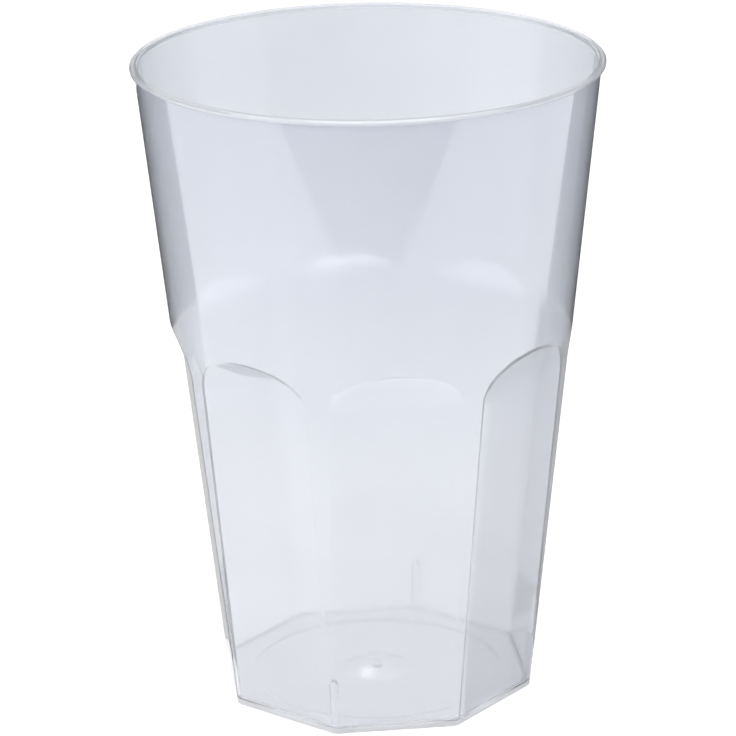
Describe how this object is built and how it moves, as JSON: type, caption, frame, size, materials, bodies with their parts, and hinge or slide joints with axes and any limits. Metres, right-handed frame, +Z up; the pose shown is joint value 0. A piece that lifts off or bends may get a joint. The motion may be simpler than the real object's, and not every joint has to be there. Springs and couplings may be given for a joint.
{
  "type": "plastic cup",
  "caption": "Tapered translucent plastic drinking cup: round beaded mouth, faceted lower body with arched shoulders, raised foot and stacking ribs inside.",
  "frame": {"origin": "centre of the base, on the plane of the foot that the cup stands on", "axes": "+Z up along the cup's axis towards the mouth; -Y is the outward normal of one facet; +X completes a right-handed frame"},
  "size_m": [0.0852, 0.0852, 0.119],
  "materials": {
    "translucent_plastic": "clear, slightly milky, smooth moulded polypropylene"
  },
  "bodies": {
    "root": {"cup": "translucent_plastic"}
  },
  "joints": []
}
